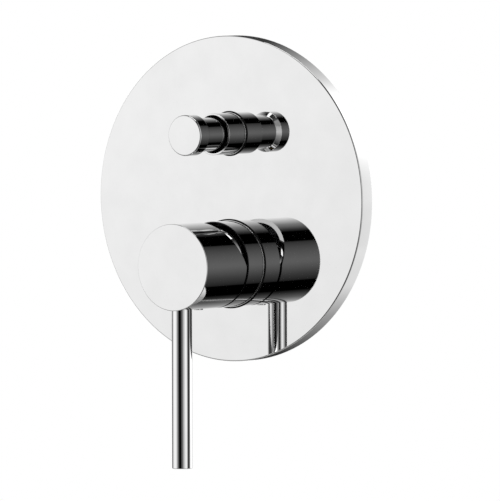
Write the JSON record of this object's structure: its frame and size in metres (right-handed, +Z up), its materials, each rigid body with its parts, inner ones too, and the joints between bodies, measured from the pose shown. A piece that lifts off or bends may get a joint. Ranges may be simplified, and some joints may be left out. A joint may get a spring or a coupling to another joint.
{
  "type": "shower diverter valve",
  "caption": "Built-in shower mixer and diverter: round chrome cover plate, drum handle with a straight hanging lever, spool pull knob, ceramic cartridge and a brass body with threaded ports.",
  "frame": {"origin": "centre of the cover plate in the wall plane", "axes": "+Z up, -Y out of the wall towards the user, +X to the user's right"},
  "size_m": [0.17, 0.1073, 0.2235],
  "materials": {
    "chrome": "mirror-polished plate",
    "black_rubber": "matt",
    "foam": "closed-cell foam",
    "cast_brass": "raw sand casting",
    "turned_brass": "turned",
    "cartridge_plastic": "moulded acetal",
    "ceramic": "lapped ceramic",
    "steel": "bright stainless"
  },
  "bodies": {
    "valve": {"valve_body": "cast_brass", "cover_plate": "chrome", "plate_gasket": "foam", "mixer_sleeve": "chrome", "sleeve_ring": "black_rubber", "cartridge_cap": "chrome", "cartridge_nut": "turned_brass", "cartridge_shell": "cartridge_plastic", "cartridge_base": "cartridge_plastic", "base_seals": "black_rubber", "fixed_disc": "ceramic", "diverter_collar": "chrome", "collar_ring": "black_rubber", "collar_wiper": "black_rubber", "diverter_bonnet": "turned_brass", "bonnet_o_ring": "black_rubber", "spindle_seals": "black_rubber"},
    "rotor": {"cartridge_rotor": "cartridge_plastic", "pivot_pin": "steel"},
    "disc_slider": {"disc_driver": "cartridge_plastic", "moving_disc": "ceramic"},
    "lever_handle": {"lever_stem": "turned_brass", "handle": "chrome", "lever_rod": "chrome", "handle_set_screw": "steel", "screw_plug": "chrome"},
    "diverter_knob": {"pull_knob": "chrome", "diverter_spindle": "steel", "diverter_piston": "turned_brass", "piston_seals": "black_rubber", "piston_nut": "turned_brass", "return_spring": "steel"}
  },
  "joints": [
    {"name": "handle_swivel", "type": "hinge", "parent": "valve", "child": "rotor", "pos_m": [0, -0.019, -0.034], "axis": [0, -1, 0], "range_deg": [-50, 50]},
    {"name": "handle_tilt", "type": "hinge", "parent": "rotor", "child": "lever_handle", "pos_m": [0, -0.019, -0.034], "axis": [-1, 0, 0], "range_deg": [0, 25]},
    {"name": "disc_slide", "type": "slide", "parent": "rotor", "child": "disc_slider", "axis": [0, 0, -1], "range_m": [0, 0.0038]},
    {"name": "knob_pull", "type": "slide", "parent": "valve", "child": "diverter_knob", "axis": [0, -1, 0], "range_m": [0, 0.008], "stiffness_N_per_m": 300, "springref_m": -0.004, "deforming": ["return_spring"]}
  ],
  "couplings": [
    {"joint": "disc_slide", "follows": "handle_tilt", "m_per_rad": 0.0087}
  ]
}
